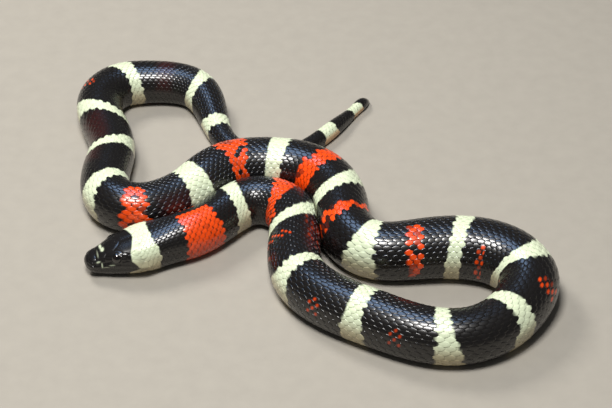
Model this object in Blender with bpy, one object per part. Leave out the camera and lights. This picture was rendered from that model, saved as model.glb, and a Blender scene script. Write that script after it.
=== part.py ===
"""Milk snake at rest in loose bends, life size, in metres with +Z up.

The snake lies belly down on a floor at z = 0, with the origin below the middle of its bends.
Sizes in this file are in millimetres. Every station along the body is its distance from the
snout along the spine.
"""

import math

import bmesh
import bpy
import numpy as np

MM = 0.001
GAP = 0.3

# The spine seen from above, from the snout to the tip of the tail
HEAD_AND_NECK = [(-83.4, -40.1), (-69, -36.5), (-54.5, -31.6), (-38.5, -23)]
NECK_CROOK = [(-19, -7.5), (-9, -11), (-4.3, -29), (-2.5, -51.5), (3, -60)]
FRONT_ARM = [(24, -74.5), (48, -84), (60.5, -83)]
RIGHT_BEND = [(79.5, -65), (82, -54.5), (79, -47.5)]
REAR_ARM = [(46.5, -37.5), (23, -36.5), (16, -28), (11.5, -4.5)]
MIDDLE_ARM = [(0, 10), (-10.5, 13), (-32.5, 9.5), (-43.5, -0.5), (-54.5, -8.5)]
LEFT_BEND = [(-65, -12), (-73, -9.5), (-78.5, 12.5), (-77.5, 24.5), (-80.5, 37)]
FAR_BEND = [(-84, 58.5), (-77.5, 67), (-67, 70), (-46, 66)]
TAIL = [(-37, 45.5), (-32, 34), (-24.5, 27.5), (-4.5, 29), (3, 35), (18.5, 55.5), (26, 66.5)]
SPINE = (
    HEAD_AND_NECK + NECK_CROOK + FRONT_ARM + RIGHT_BEND + REAR_ARM
    + MIDDLE_ARM + LEFT_BEND + FAR_BEND + TAIL
)
FRAME_SHIFT = (0.3, 7.68)

# Station, half width, top, underside and level of greatest width of the head
HEAD_SHAPE = [
    (0, 4.1, 8.0, 2.1, 5.1),
    (2, 4.55, 8.35, 1.3, 5.0),
    (4, 5.0, 8.95, 0.7, 5.1),
    (6, 5.55, 9.85, 0.3, 5.3),
    (9.5, 6.85, 11.5, 0.05, 5.6),
    (13, 7.95, 12.75, 0, 6.0),
    (17, 9.0, 13.8, -0.2, 6.5),
    (22, 9.8, 15.0, -0.4, 7.1),
    (27, 9.5, 15.7, -0.6, 7.6),
    (32, 9.2, 16.45, -0.7, 8.0),
]
SNOUT_LEVEL = 5.3
SNOUT_ROUNDING = 3.2

# Station and half width of the body and tail
BODY_GIRTH = [
    (39, 9.4), (50, 9.3), (65, 9.5), (85, 9.8), (115, 10.2), (150, 10.6), (190, 10.4), (220, 10.7),
    (250, 12.0), (275, 12.0), (300, 11.2), (330, 11.2), (360, 11.0), (388, 11.0), (402, 10.8), (416, 9.8),
    (428, 9.7), (440, 10.0), (458, 9.8), (485, 9.3), (518, 9.5), (540, 9.0), (558, 8.3), (571, 6.9),
    (583, 5.5), (605, 4.2), (626, 3.5), (650, 3.1), (662, 2.4), (670, 1.6),
]
TOP_PER_GIRTH = 1.84
SINK_PER_GIRTH = 0.10
WIDEST_PER_GIRTH = 0.86
TAIL_POINT = 0.6
TIP_RING = 1.2
TIP_CUT = 0.1

# Exponents of the section's outline on the head, the back and the lower flanks, and where the
# head's turns into the body's
CROWN_SQUARENESS = 2.7
BACK_SQUARENESS = 2.0
FLANK_SQUARENESS = 2.4
NECK_BLEND = (24.0, 36.0)

# Mouth line: station and height, from under the snout to the corner
MOUTH_LINE = [(0, 4.4), (4, 4.9), (8, 5.7), (12, 6.1), (16, 5.9), (20, 5.3), (24, 5.0)]
MOUTH_START = 1.1
MOUTH_CORNER = 24.0
LIP_OVERHANG = 0.35
MOST_OVERHANG = 0.5

# The eyes stand a little out of the head's sides, each with most of its ball inside
EYE_STATION = 11.8
EYE_HEIGHT = 9.9
EYE_RADIUS = 2.3
EYE_DEPTH = 1.9
NOSTRIL_STATION = 3.1
NOSTRIL_HEIGHT = 6.7
NOSTRIL_RADIUS = 0.5
NOSTRIL_DEPTH = 0.1

# Swellings of the head: height, station, its spread, turn from the crown in radians, its spread
BROW = (0.35, EYE_STATION, 2.6, 0.78, 0.28)
CHEEK = (0.35, 20.0, 4.5, 1.75, 0.4)
LOREAL_HOLLOW = (-0.3, 7.3, 2.2, 1.2, 0.28)
BROW_LIFT = 0.7
LIP_SWELL = 0.3
LIP_RISE = 0.8
LIP_FADE = 4.0
LIP_END = 26.0

# Where one length of the animal ends and the next starts
HEAD_END = 30.0
LENGTHS = [
    ("neck", 30, 52),
    ("body_01", 52, 80),
    ("body_02", 80, 122),
    ("body_03", 122, 162),
    ("body_04", 162, 205),
    ("body_05", 205, 238),
    ("body_06", 238, 262),
    ("body_07", 262, 306),
    ("body_08", 306, 345),
    ("body_09", 345, 375),
    ("body_10", 375, 412),
    ("body_11", 412, 442),
    ("body_12", 442, 475),
    ("body_13", 475, 515),
    ("body_14", 515, 540),
    ("body_15", 540, 566),
    ("tail_1", 566, 598),
    ("tail_2", 598, 632),
    ("tail_tip", 632, None),
]
RING_SPACING = 4.0
BODY_SIDES = 22
HEAD_SIDES = 40
HEAD_RING_SPACING = 0.9
HEAD_BACK_SPACING = 1.4
SNOUT_STATIONS = (0.06, 0.3, 0.75)
SNOUT_END = 1.4
SIDE_POINTS = 400

# Spine sampling, and how near another length of the body presses on this one
SPINE_STEP = 0.5
SPINE_SAMPLES = 6000
NEIGHBOUR_SPAN = 45.0
NEIGHBOUR_REACH = 4.0
BEND_ROOM = 0.9
STRAIGHT = 1e-4
FACING = 0.3
NO_LIMIT = 1000.0
PRESSED_GAP = 0.6


def natural_spline(knots, values, at):
    """A natural cubic spline through values at knots, and its slope, read at the places asked for."""
    knots = np.asarray(knots, float)
    values = np.asarray(values, float)
    count = len(knots)
    step = np.diff(knots)
    rise = np.diff(values, axis=0) / (step[:, None] if values.ndim > 1 else step)
    matrix = np.eye(count)
    right = np.zeros_like(values)
    for i in range(1, count - 1):
        matrix[i, i - 1 : i + 2] = step[i - 1], 2 * (step[i - 1] + step[i]), step[i]
        right[i] = 6 * (rise[i] - rise[i - 1])
    bend = np.linalg.solve(matrix, right)
    i = np.clip(np.searchsorted(knots, at) - 1, 0, count - 2)
    h, a, b = step[i], at - knots[i], knots[i + 1] - at
    if values.ndim > 1:
        h, a, b = h[:, None], a[:, None], b[:, None]
    low, high = values[i] / h - bend[i] * h / 6, values[i + 1] / h - bend[i + 1] * h / 6
    place = (bend[i] * b**3 + bend[i + 1] * a**3) / (6 * h) + low * b + high * a
    slope = (bend[i + 1] * a**2 - bend[i] * b**2) / (2 * h) - low + high
    return place, slope


class Spine:
    """Stations along the spine, each with its place, direction and girth."""

    def __init__(self):
        points = np.array(SPINE, float) + FRAME_SHIFT
        chords = np.linalg.norm(np.diff(points, axis=0), axis=1)
        knots = np.concatenate([[0], np.cumsum(chords)])
        fine = np.linspace(0, knots[-1], SPINE_SAMPLES)
        place, _ = natural_spline(knots, points, fine)
        run = np.concatenate([[0], np.cumsum(np.linalg.norm(np.diff(place, axis=0), axis=1))])
        self.length = run[-1]
        self.stations = np.arange(0, self.length + SPINE_STEP / 2, SPINE_STEP)
        self.stations[-1] = self.length
        at = np.interp(self.stations, run, fine)
        self.place, slope = natural_spline(knots, points, at)
        self.ahead = slope / np.linalg.norm(slope, axis=1)[:, None]
        self.left = np.stack([-self.ahead[:, 1], self.ahead[:, 0]], 1)
        heading = np.unwrap(np.arctan2(self.ahead[:, 1], self.ahead[:, 0]))
        self.curl = np.gradient(heading, self.stations)
        self.shape = body_shape(self.stations, self.length)
        self.room = {side: self.side_room(side) for side in (1, -1)}

    def side_room(self, side):
        """How far the flesh reaches to one side before it meets a neighbouring length or its own bend."""
        width = self.shape["half_width"]
        room = np.full(len(self.stations), NO_LIMIT)
        tight = self.curl * side > STRAIGHT
        room[tight] = BEND_ROOM / np.abs(self.curl[tight])
        for i, station in enumerate(self.stations):
            away = self.place - self.place[i]
            distance = np.maximum(np.linalg.norm(away, axis=1), 1e-6)
            near = np.abs(self.stations - station) > NEIGHBOUR_SPAN
            near &= distance < width + width[i] + NEIGHBOUR_REACH
            faces = (away @ self.left[i]) * side / distance
            near &= faces > FACING
            if near.any():
                distance, faces = distance[near], faces[near]
                middle = (distance**2 + width[i] ** 2 - width[near] ** 2) / (2 * distance)
                room[i] = min(room[i], ((middle - GAP * PRESSED_GAP) / faces).min())
        return room

    def at(self, station, values):
        if values.ndim == 1:
            return np.interp(station, self.stations, values)
        return np.stack([np.interp(station, self.stations, column) for column in values.T], -1)


def body_shape(stations, length):
    """Half width, top, underside and level of greatest width at each station."""
    rows = list(HEAD_SHAPE)
    for station, girth in BODY_GIRTH + [(length, TAIL_POINT)]:
        rows.append(
            (station, girth, TOP_PER_GIRTH * girth, -SINK_PER_GIRTH * girth, WIDEST_PER_GIRTH * girth)
        )
    rows = np.array(rows, float)
    columns, _ = natural_spline(rows[:, 0], rows[:, 1:], stations)
    half_width, top, under, widest = columns.T
    snout = np.clip(1 - stations / SNOUT_ROUNDING, 0, 1)
    rounding = np.sqrt(1 - snout**2)
    half_width = half_width * rounding
    top = SNOUT_LEVEL + (top - SNOUT_LEVEL) * rounding
    under = SNOUT_LEVEL + (under - SNOUT_LEVEL) * rounding
    widest = SNOUT_LEVEL + (widest - SNOUT_LEVEL) * rounding
    return {"half_width": half_width, "top": top, "under": under, "widest": widest}


def head_part(station):
    """1 on the head, fading to 0 on the neck."""
    start, end = NECK_BLEND
    return np.clip((end - station) / (end - start), 0, 1)


def turns(sides):
    """Evenly spread angles round the body, from the top round by the left side, in -pi to pi."""
    turn = 2 * math.pi * np.arange(sides) / sides
    return (turn + math.pi) % (2 * math.pi) - math.pi


def section(spine, station, turn):
    """The body's outline at a station, as sides and heights at the turns asked for."""
    shape = {name: spine.at(station, values) for name, values in spine.shape.items()}
    across, up = np.sin(turn), np.cos(turn)
    squareness = np.where(up > 0, BACK_SQUARENESS, FLANK_SQUARENESS)
    squareness = squareness + (CROWN_SQUARENESS - squareness) * head_part(station)
    across = np.sign(across) * np.abs(across) ** (2 / squareness)
    up = np.sign(up) * np.abs(up) ** (2 / squareness)
    reach = np.where(up > 0, shape["top"] - shape["widest"], shape["widest"] - shape["under"])
    side = shape["half_width"] * across
    height = np.maximum(shape["widest"] + up * reach, 0)
    side = np.clip(side, -spine.at(station, spine.room[-1]), spine.at(station, spine.room[1]))
    return side, height


def swelling(station, turn, form):
    size, place, length, level, width = form
    along = np.exp(-(((station - place) / length) ** 2))
    return size * along * np.exp(-(((np.abs(turn) - level) / width) ** 2))


def head_section(spine, station, turn):
    """The outline with the brows, the full cheeks, the hollow before each eye and the lips."""
    side, height = section(spine, station, turn)
    brow = swelling(station, turn, BROW) * BROW_LIFT
    out = brow + swelling(station, turn, CHEEK) + swelling(station, turn, LOREAL_HOLLOW)
    lip = LIP_SWELL * np.exp(-(((height - mouth_height(station) - LIP_RISE) / LIP_RISE) ** 2))
    lip = lip * np.clip(station / LIP_FADE, 0, 1) * np.clip((LIP_END - station) / LIP_FADE, 0, 1)
    return side + np.sign(side) * (out + lip), height + brow


def place_ring(spine, station, side, height):
    centre = spine.at(station, spine.place)
    left = spine.at(station, spine.left)
    left = left / np.linalg.norm(left)
    ring = centre[None, :] + left[None, :] * side[:, None]
    return np.column_stack([ring, height])


def loft(name, rings, material):
    """A closed body through rings of as many points each, with a fan over each end."""
    mesh = bmesh.new()
    rows = [[mesh.verts.new(point * MM) for point in ring] for ring in rings]
    count = len(rows[0])
    for near, far in zip(rows, rows[1:]):
        for i in range(count):
            j = (i + 1) % count
            mesh.faces.new((near[i], far[i], far[j], near[j]))
    front = mesh.verts.new(rings[0].mean(axis=0) * MM)
    back = mesh.verts.new(rings[-1].mean(axis=0) * MM)
    for i in range(count):
        j = (i + 1) % count
        mesh.faces.new((rows[0][i], rows[0][j], front))
        mesh.faces.new((rows[-1][i], back, rows[-1][j]))
    data = bpy.data.meshes.new(name)
    mesh.to_mesh(data)
    mesh.free()
    data.shade_smooth()
    data.set_sharp_from_angle(angle=math.radians(50))
    piece = bpy.data.objects.new(name, data)
    piece.data.materials.append(material)
    SNAKE.objects.link(piece)
    return piece


def skin_material(name, colour, roughness):
    material = bpy.data.materials.new(name)
    material.use_nodes = True
    shader = material.node_tree.nodes["Principled BSDF"]
    shader.inputs["Base Color"].default_value = (*colour, 1)
    shader.inputs["Roughness"].default_value = roughness
    shader.inputs["Metallic"].default_value = 0
    return material


def stations_between(start, end, spacing):
    count = max(2, round((end - start) / spacing) + 1)
    return np.linspace(start, end, count)


def body_length(spine, name, start, end, material):
    """One length of the neck, body or tail, cut square to the spine at both ends."""
    last = spine.length if end is None else end - GAP / 2
    stations = list(stations_between(start + GAP / 2, last, RING_SPACING))
    if end is None:
        stations[-1] -= TIP_CUT
        stations.insert(-1, stations[-1] - TIP_RING)
    turn = turns(BODY_SIDES)
    rings = [place_ring(spine, station, *section(spine, station, turn)) for station in stations]
    return loft(name, rings, material)


def mouth_height(station):
    knots = np.array(MOUTH_LINE)
    return float(natural_spline(knots[:, 0], knots[:, 1], np.array([station]))[0][0])


def head_rings(spine, stations, upper):
    rings = []
    for station in stations:
        side, height = head_section(spine, station, turns(HEAD_SIDES))
        mouth = mouth_height(station)
        if upper and station <= MOUTH_CORNER:
            height = np.maximum(height, mouth + GAP / 2)
        if not upper:
            side = side - np.sign(side) * np.minimum(LIP_OVERHANG, np.abs(side) * MOST_OVERHANG)
            height = np.minimum(height, mouth - GAP / 2)
        rings.append(place_ring(spine, station, side, height))
    return rings


def head(spine, material):
    """The skull, upper lip and throat, in one piece, open below for the jaw."""
    front = list(stations_between(SNOUT_END, MOUTH_CORNER, HEAD_RING_SPACING))
    back = list(stations_between(MOUTH_CORNER + GAP / 2, HEAD_END - GAP / 2, HEAD_BACK_SPACING))
    stations = list(SNOUT_STATIONS) + front + back
    piece = loft("head", head_rings(spine, stations, True), material)
    for side in (1, -1):
        cut(piece, eye_ball(spine, f"eye_seat_{side}", side, EYE_RADIUS + GAP, CUTTERS))
        cut(piece, nostril(spine, side))
    return piece


def lower_jaw(spine, material):
    stations = stations_between(MOUTH_START, MOUTH_CORNER - GAP, HEAD_RING_SPACING)
    return loft("lower_jaw", head_rings(spine, stations, False), material)


def below_side(spine, station, level, side, depth):
    """The place a depth below the head's side, square to it, at a station and a height."""
    across, height = head_section(spine, station, side * np.linspace(0, math.pi / 2, SIDE_POINTS))
    nearest = np.argmin(np.abs(height - level))
    along = np.gradient(np.column_stack([across, height]), axis=0)[nearest]
    inward = side * np.array([along[1], -along[0]]) / np.linalg.norm(along)
    across, height = np.array([across[nearest], height[nearest]]) + inward * depth
    return place_ring(spine, station, np.array([across]), np.array([height]))[0]


def ball(name, place, radius, stretch, collection):
    mesh = bmesh.new()
    bmesh.ops.create_uvsphere(mesh, u_segments=20, v_segments=12, radius=radius * MM)
    bmesh.ops.scale(mesh, vec=stretch, verts=mesh.verts)
    bmesh.ops.translate(mesh, vec=[value * MM for value in place], verts=mesh.verts)
    data = bpy.data.meshes.new(name)
    mesh.to_mesh(data)
    mesh.free()
    data.shade_smooth()
    piece = bpy.data.objects.new(name, data)
    collection.objects.link(piece)
    return piece


def eye_ball(spine, name, side, radius, collection):
    place = below_side(spine, EYE_STATION, EYE_HEIGHT, side, EYE_DEPTH)
    return ball(name, place, radius, (1, 1, 1), collection)


def nostril(spine, side):
    place = below_side(spine, NOSTRIL_STATION, NOSTRIL_HEIGHT, side, NOSTRIL_DEPTH)
    return ball(f"nostril_{side}", place, NOSTRIL_RADIUS, (1.2, 1, 0.8), CUTTERS)


def cut(piece, cutter):
    cutter.hide_render = True
    cutter.display_type = "WIRE"
    modifier = piece.modifiers.new("cut_" + cutter.name, "BOOLEAN")
    modifier.object = cutter
    modifier.operation = "DIFFERENCE"


def clear_scene():
    for thing in list(bpy.data.objects):
        bpy.data.objects.remove(thing, do_unlink=True)


def new_collection(name):
    collection = bpy.data.collections.new(name)
    bpy.context.scene.collection.children.link(collection)
    return collection


clear_scene()
SNAKE = new_collection("milk_snake")
CUTTERS = new_collection("cutters")


def build():
    spine = Spine()
    black = skin_material("black_scales", (0.010, 0.009, 0.010), 0.25)
    head_black = skin_material("head_shields", (0.008, 0.007, 0.008), 0.15)
    eye_black = skin_material("eye", (0.005, 0.004, 0.004), 0.03)
    head(spine, head_black)
    lower_jaw(spine, head_black)
    for side, name in ((-1, "eye_left"), (1, "eye_right")):
        eye = eye_ball(spine, name, side, EYE_RADIUS, SNAKE)
        eye.data.materials.append(eye_black)
    for name, start, end in LENGTHS:
        body_length(spine, name, start, end, black)
    return spine


build()
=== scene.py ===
import math

import bpy
import numpy as np
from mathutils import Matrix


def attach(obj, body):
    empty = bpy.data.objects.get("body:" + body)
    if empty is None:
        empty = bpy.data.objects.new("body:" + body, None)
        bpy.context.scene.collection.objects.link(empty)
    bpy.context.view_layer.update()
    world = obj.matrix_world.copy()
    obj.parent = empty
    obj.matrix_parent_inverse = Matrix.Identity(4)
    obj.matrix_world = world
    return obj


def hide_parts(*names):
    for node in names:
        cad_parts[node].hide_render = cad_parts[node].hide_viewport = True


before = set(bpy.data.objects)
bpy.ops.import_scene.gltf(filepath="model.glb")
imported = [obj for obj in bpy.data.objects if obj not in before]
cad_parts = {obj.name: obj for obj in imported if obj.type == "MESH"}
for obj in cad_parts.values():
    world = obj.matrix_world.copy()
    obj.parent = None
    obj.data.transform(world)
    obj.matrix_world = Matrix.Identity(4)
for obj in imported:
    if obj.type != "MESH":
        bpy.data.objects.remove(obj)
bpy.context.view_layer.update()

# Looks of the milk snake: one skin, its shields and scales in mesh, markings, eyes, floor and light.
# Sizes are in millimetres, as are stations, the distances from the snout along the spine. Turns
# are angles round the body from the middle of the back, in radians, and positive on the side that
# lies to the left of the way from head to tail.

MM = 0.001

# The spine seen from above, from the snout to the tip of the tail
HEAD_AND_NECK = [(-83.4, -40.1), (-69, -36.5), (-54.5, -31.6), (-38.5, -23)]
NECK_CROOK = [(-19, -7.5), (-9, -11), (-4.3, -29), (-2.5, -51.5), (3, -60)]
FRONT_ARM = [(24, -74.5), (48, -84), (60.5, -83)]
RIGHT_BEND = [(79.5, -65), (82, -54.5), (79, -47.5)]
REAR_ARM = [(46.5, -37.5), (23, -36.5), (16, -28), (11.5, -4.5)]
MIDDLE_ARM = [(0, 10), (-10.5, 13), (-32.5, 9.5), (-43.5, -0.5), (-54.5, -8.5)]
LEFT_BEND = [(-65, -12), (-73, -9.5), (-78.5, 12.5), (-77.5, 24.5), (-80.5, 37)]
FAR_BEND = [(-84, 58.5), (-77.5, 67), (-67, 70), (-46, 66)]
TAIL = [(-37, 45.5), (-32, 34), (-24.5, 27.5), (-4.5, 29), (3, 35), (18.5, 55.5), (26, 66.5)]
SPINE = (
    HEAD_AND_NECK + NECK_CROOK + FRONT_ARM + RIGHT_BEND + REAR_ARM
    + MIDDLE_ARM + LEFT_BEND + FAR_BEND + TAIL
)
FRAME_SHIFT = (0.3, 7.68)

# Station, half width, top, underside and level of greatest width of the head
HEAD_SHAPE = [
    (0, 4.1, 8.0, 2.1, 5.1), (2, 4.55, 8.35, 1.3, 5.0),
    (4, 5.0, 8.95, 0.7, 5.1), (6, 5.55, 9.85, 0.3, 5.3),
    (9.5, 6.85, 11.5, 0.05, 5.6), (13, 7.95, 12.75, 0, 6.0),
    (17, 9.0, 13.8, -0.2, 6.5), (22, 9.8, 15.0, -0.4, 7.1),
    (27, 9.5, 15.7, -0.6, 7.6), (32, 9.2, 16.45, -0.7, 8.0),
]
SNOUT_LEVEL = 5.3
SNOUT_ROUNDING = 3.2

# Station and half width of the body and tail
BODY_GIRTH = [
    (39, 9.4), (50, 9.3), (65, 9.5), (85, 9.8), (115, 10.2), (150, 10.6), (190, 10.4), (220, 10.7),
    (250, 12.0), (275, 12.0), (300, 11.2), (330, 11.2), (360, 11.0), (388, 11.0), (402, 10.8), (416, 9.8),
    (428, 9.7), (440, 10.0), (458, 9.8), (485, 9.3), (518, 9.5), (540, 9.0), (558, 8.3), (571, 6.9),
    (583, 5.5), (605, 4.2), (626, 3.5), (650, 3.1), (662, 2.4), (670, 1.6),
]
TOP_PER_GIRTH = 1.84
SINK_PER_GIRTH = 0.10
WIDEST_PER_GIRTH = 0.86
TAIL_POINT = 0.6
CROWN_SQUARENESS = 2.7
BACK_SQUARENESS = 2.0
FLANK_SQUARENESS = 2.4
NECK_BLEND = (24.0, 36.0)

# Mouth line: station and height, from under the snout to the corner
MOUTH_LINE = [(0, 4.4), (4, 4.9), (8, 5.7), (12, 6.1), (16, 5.9), (20, 5.3), (24, 5.0)]
MOUTH_CORNER = 24.0
LIP_OVERHANG = 0.35

EYE_STATION = 11.8
EYE_HEIGHT = 9.9
EYE_RADIUS = 2.3
EYE_DEPTH = 1.9
EYE_SHOWN = 1.3
IRIS = np.array([0.009, 0.005, 0.004])
EYE_RIM = np.array([0.002, 0.002, 0.002])
PUPIL = np.array([0.001, 0.001, 0.001])
NOSTRIL_STATION = 3.1
NOSTRIL_HEIGHT = 6.7

# Swellings of the head: height, station, its spread, turn from the crown, its spread
BROW = (0.35, EYE_STATION, 2.6, 0.78, 0.28)
CHEEK = (0.35, 20.0, 4.5, 1.75, 0.4)
LOREAL_HOLLOW = (-0.3, 7.3, 2.2, 1.2, 0.28)
BROW_LIFT = 0.7
LIP_SWELL = 0.3
LIP_RISE = 0.8
LIP_FADE = 4.0
LIP_END = 26.0

# Mouth line, eye sockets and nostrils: depth or height, place where it has one, and width
MOUTH_GROOVE = (0.28, 0.17)
SOCKET_DEPTH = 0.22
SOCKET_RIM = (0.15, 0.28, 0.2)
NOSTRIL_HOLE = (0.6, 0.62, 0.4)
NOSTRIL_RIM = (0.05, 0.8, 0.2)

SPINE_STEP = 0.5
SPINE_SAMPLES = 6000
NEIGHBOUR_SPAN = 45.0
NEIGHBOUR_REACH = 4.0
BEND_ROOM = 0.9
STRAIGHT = 1e-4
FACING = 0.3
NO_LIMIT = 1000.0
SIDE_POINTS = 800
FLANK_GAP = 0.18

# How deep the skin lies below the solids' surface, under the shields and under the scales
SHIELD_DEPTH = 0.05
SCALE_DEPTH = 0.28
FULL_GIRTH = 9.0
LEAST_SHARE = 0.25
SHIELDS_END = 17.0
SCALES_FULL = 23.0
FLOOR_CLEARANCE = 0.01

# Skin mesh: stations and columns, fine over the head
SNOUT_ROWS = [0.01, 0.04, 0.1, 0.2, 0.34, 0.5, 0.68]
HEAD_START = 0.85
HEAD_STEP = 0.17
HEAD_SKIN_END = 25.0
HEAD_COLUMNS = 288
BODY_STEP = 1.6
BODY_COLUMNS = 72
SKIN_JOIN = 0.6
TAIL_CUT = 0.1
EYE_RINGS = 48
EYE_SEGMENTS = 64

# White rings: station and width on the back, extra width low on the flank, slant, bow
WHITE_RINGS = [
    (63.5, 5.8, 2.5, 2.4, 0), (100, 6.0, 2.5, -5.0, 0), (128.5, 5.2, 4.5, -0.8, 0),
    (158.5, 6.3, 3.0, 0.0, 0.8), (189, 5.6, 2.4, -1.2, 1.0), (215.5, 6.0, 2.0, -1.0, -1.8),
    (241.5, 6.2, 3.0, -1.0, 4.8), (270.5, 6.0, 0.8, 2.5, 1.0), (304.5, 6.3, 1.8, 0.3, 0),
    (336, 6.7, 1.5, -5.0, 0.5), (371.5, 7.0, 1.5, 1.5, 0), (411, 8.6, 0.5, 0.4, 0),
    (450, 5.7, 1.0, -2.5, -0.8), (473, 4.9, 1.0, -3.5, 0), (496, 5.8, 1.0, 6.5, 0),
    (527, 6.6, 1.5, -3.2, 0), (560.5, 4.8, 3.5, -3.4, 0), (583, 5.6, 2.4, 0.4, -0.4),
    (611.5, 6.8, 1.8, 0.3, 0), (641, 7.8, 1.6, 0.3, 0), (660.5, 6.2, 0.8, -0.5, 0),
]
FLANK_TURNS = (math.radians(45), math.radians(100))

# The ring behind the head: turn in degrees, and its front and rear edges
HEAD_RING = [
    (0, 18.9, 25.0), (10, 18.2, 25.0), (30, 17.3, 25.2), (45, 16.6, 26.3),
    (75, 16.6, 26.9), (86, 18.0, 27.0), (96, 19.6, 27.0), (104, 16.8, 27.0),
    (112, 15.6, 27.0), (150, 15.8, 27.0), (180, 16.2, 26.5),
]

# Red marks: start and end station, lowest and highest turn in degrees, slant, share of the
# scales that are red, how bright they are, and how much of each scale is red
RED_MARKS = [
    (37, 50.5, -175, 15, 0.0, 1.0, 1.0, 1), (38.5, 49, 40, 175, 0.0, 1.0, 1.0, 1),
    (80.5, 88, -115, 75, -3.5, 0.97, 1.0, 1), (86, 98.5, -95, -48, 0.0, 0.9, 1.0, 1),
    (111, 115, -88, -5, 0.0, 1.0, 1.0, 0.5), (142.5, 146.5, -90, -48, 0.0, 0.8, 1.0, 0.42),
    (143, 146, 60, 100, 0.0, 0.85, 1.0, 0.5), (173.5, 178, -90, -48, 0.0, 0.72, 0.85, 0.4),
    (174, 177.5, 60, 110, 0.0, 0.85, 1.0, 0.5), (228, 233, -80, -22, 0.0, 0.75, 1.0, 0.6),
    (227.5, 232, 70, 110, 0.0, 0.68, 1.0, 0.5), (257.5, 261.5, -110, -60, 0.0, 1.0, 1.0, 0.5),
    (257.5, 262, 38, 115, 1.8, 0.9, 1.0, 0.7), (285.5, 291, -5, 105, 1.0, 0.88, 1.0, 1),
    (318, 323.5, -110, 62, -1.8, 0.85, 1.0, 1), (316, 320, 60, 90, 0.0, 0.85, 1.0, 1),
    (348.5, 355.5, -120, 100, 0.0, 0.92, 1.0, 1), (347, 358.5, 25, 100, 0.0, 0.9, 1.0, 1),
    (384, 395, -120, 5, 0.0, 0.92, 1.0, 1), (385, 394, 0, 100, 0.0, 0.8, 1.0, 1),
    (430.5, 437.5, -6, 115, 0.0, 0.86, 1.0, 1), (430.5, 437.5, -120, -70, 0.0, 0.7, 1.0, 0.8),
    (510.5, 514, 12, 100, 0.0, 0.68, 1.0, 0.5), (507, 510.5, -34, -12, 0.0, 0.42, 1.0, 0.5),
    (101.5, 119, 26, 110, 0.0, 0.45, 0.28, 0.8), (104.5, 116.5, 58, 100, 0.0, 0.6, 0.75, 0.8),
    (117.5, 123.5, -95, -60, 0.0, 0.3, 0.3, 0.8),
]

# Dull reddish patches: start, end, turns in degrees, strength
DULL_MARKS = [
    (100.5, 119.5, 28, 120, 0.14), (407.5, 426.5, 40, 90, 0.10), (475, 494, 10, 95, 0.10),
    (541, 547, -75, 60, 0.13), (461.5, 469, 20, 80, 0.10),
]

# Pale flecks across the snout, and two long thin ones along the upper lip, at stations 7.4 and 9.6, that
# are a painted highlight on the lip's edge: station, turn in degrees, their spreads, strength
SNOUT_FLECKS_AND_LIP_HIGHLIGHT = [
    (6.6, 15, 0.42, 13, 0.85), (7.1, -2, 0.55, 5, 0.95), (5.1, -14, 0.24, 15, 0.30),
    (4.9, -56, 0.65, 5, 0.70), (6.1, -77, 0.22, 11, 0.60), (7.4, -86, 1.0, 1.6, 0.45),
    (9.6, -79, 0.9, 1.6, 0.40), (5.0, 56, 0.55, 5, 0.55), (6.1, 77, 0.22, 13, 0.50),
]

# Colours, linear
BLACK = np.array([0.0062, 0.0052, 0.0050])
# Black low on the flank: partly a browner black of its own, partly a painted reflection of the pale floor
BLACK_LOW_FLOOR_SHEEN = np.array([0.009, 0.0075, 0.0068])
WHITE = np.array([0.74, 0.83, 0.60])
# Darker beige white low on the flank: painted shade
WHITE_LOW_SHADED = np.array([0.46, 0.40, 0.245])
# Orange white low on the tail: partly the bands' own tone, partly painted bounce light from the floor
TAIL_LOW_TONE_AND_BOUNCE = np.array([0.60, 0.36, 0.17])
RED = np.array([0.90, 0.075, 0.003])
RED_TIP = np.array([0.06, 0.006, 0.003])
# Red low on the flank: painted shade
RED_LOW_SHADED = np.array([0.62, 0.055, 0.005])
DULL_RED = np.array([0.22, 0.012, 0.010])

# Turns in degrees from which the flanks differ, and over how many more it spreads: the black's painted
# floor reflection and the red's painted shade, the white's painted shade, the tail's orange with its
# painted bounce light, and the flatter scales
LOW_SHEEN_AND_SHADE_TURNS = (62, 50)
WHITE_SHADE_TURNS = (58, 48)
TAIL_TONE_AND_BOUNCE_TURNS = (50, 40)
FLAT_TURNS = (50, 40)
TAIL_LOW_START = 600
TAIL_LOW_SPREAD = 30

# Scales: distance from one to the next along a row, by station
SCALE_PITCH = [
    (17, 1.7), (30, 2.05), (45, 2.2), (80, 2.65), (140, 3.05), (205, 3.15), (250, 3.0),
    (300, 2.85), (360, 2.9), (400, 2.7), (430, 2.6), (490, 2.8), (550, 2.4), (600, 2.3), (675, 1.6),
]
ROW_TURN = math.radians(8.6)
ROW_WIDENING = math.radians(0.0090)
ROWS_EACH_SIDE = 12
BELLY_TURN = math.radians(124)
ROW_SPREAD = [(17, 1.1), (30, 1.0), (556, 1.0), (575, 1.35), (600, 1.95), (650, 3.0), (675, 4.2)]
VENT = 566.0
FIRST_SCALES = 18.6
THROAT_SCUTES = 27.0
LAST_SCALES = 672.5
SCALE_LENGTH = 1.55
SCALE_WIDTH = 0.80
SCALE_ROOT = -0.15
SCALE_TIP = 0.15
SCALE_CROWN = 0.09
FLANK_RELIEF = 0.6
SCALE_THICKNESS = 0.2
WIDEST_SHARE = 0.42
TIP_WIDTH = 0.16
PLATE_SEAT = 0.62
UNDERSIDE_MIDDLE = 0.45
UNDERSIDE_SHARE = 0.93
SCUTE_LENGTH = 1.5
PIECE_TRIANGLES = 190000

# How far a scale takes the white of its own middle, and how far the red, and how soft the edge is
OWN_SHARE = 0.4
RED_OWN_SHARE = 0.8
WHITE_SOFTNESS = 0.14

# Marks with smaller spots than this show on the scales only, not on the skin or the belly
LEAST_SOLID_SPOT = 0.7

# Marks with larger spots than this colour the whole of a scale
WHOLE_SCALE = 0.95

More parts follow.
